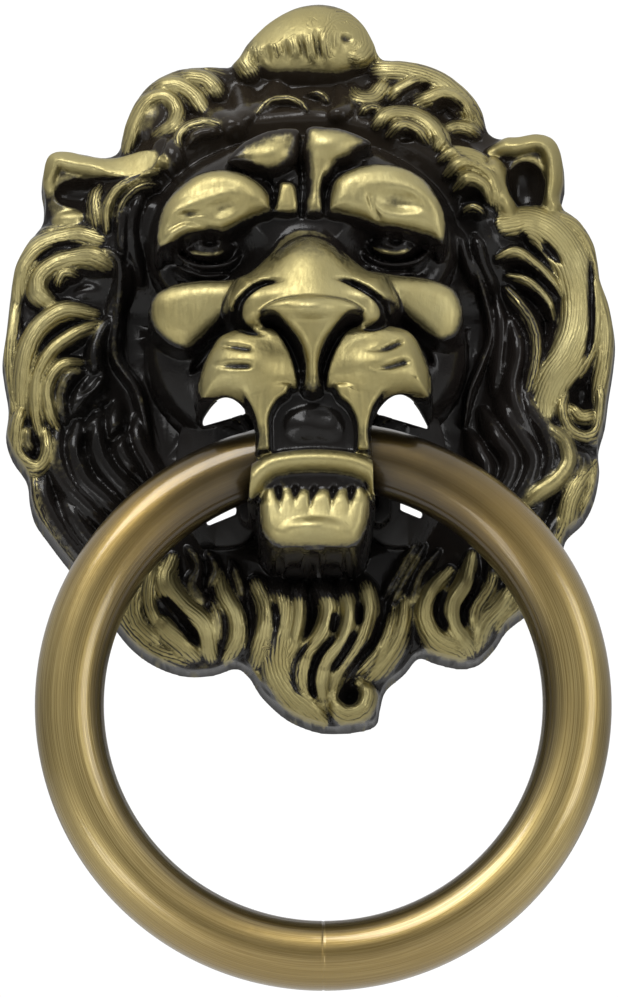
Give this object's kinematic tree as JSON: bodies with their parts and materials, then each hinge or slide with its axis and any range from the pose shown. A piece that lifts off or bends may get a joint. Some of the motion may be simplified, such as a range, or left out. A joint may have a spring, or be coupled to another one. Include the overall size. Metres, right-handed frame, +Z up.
{
  "type": "door knocker",
  "caption": "Lion's-head door knocker: a hollow cast mask with a heavy ring hanging through its mouth, fixed through the door by studs.",
  "frame": {"origin": "on the door's face, midway between the two fixing studs", "axes": "+Z up, +Y into the door, +X to the right as seen from in front of the door"},
  "size_m": [0.11, 0.0982, 0.1815],
  "materials": {
    "mask_brass": "antique brass: satin-brushed high spots, glossy black lacquer in the recesses",
    "ring_bronze": "browner antique bronze, brushed along the bar, clear lacquer",
    "dowel_brass": "turned brass, soldered in",
    "stud_steel": "zinc-plated rolled thread",
    "nut_brass": "antique brass to match the mask"
  },
  "bodies": {
    "mask": {"lion_mask": "mask_brass", "upper_stud": "stud_steel", "lower_stud": "stud_steel", "upper_washer": "nut_brass", "lower_washer": "nut_brass", "upper_cap_nut": "nut_brass", "lower_cap_nut": "nut_brass"},
    "ring": {"knocker_ring": "ring_bronze", "ring_joint_dowel": "dowel_brass"}
  },
  "joints": [
    {"name": "ring_swing", "type": "hinge", "parent": "mask", "child": "ring", "pos_m": [0.002, -0.024, -0.016], "axis": [-1, 0, 0], "range_deg": [-11.5, 100]}
  ]
}
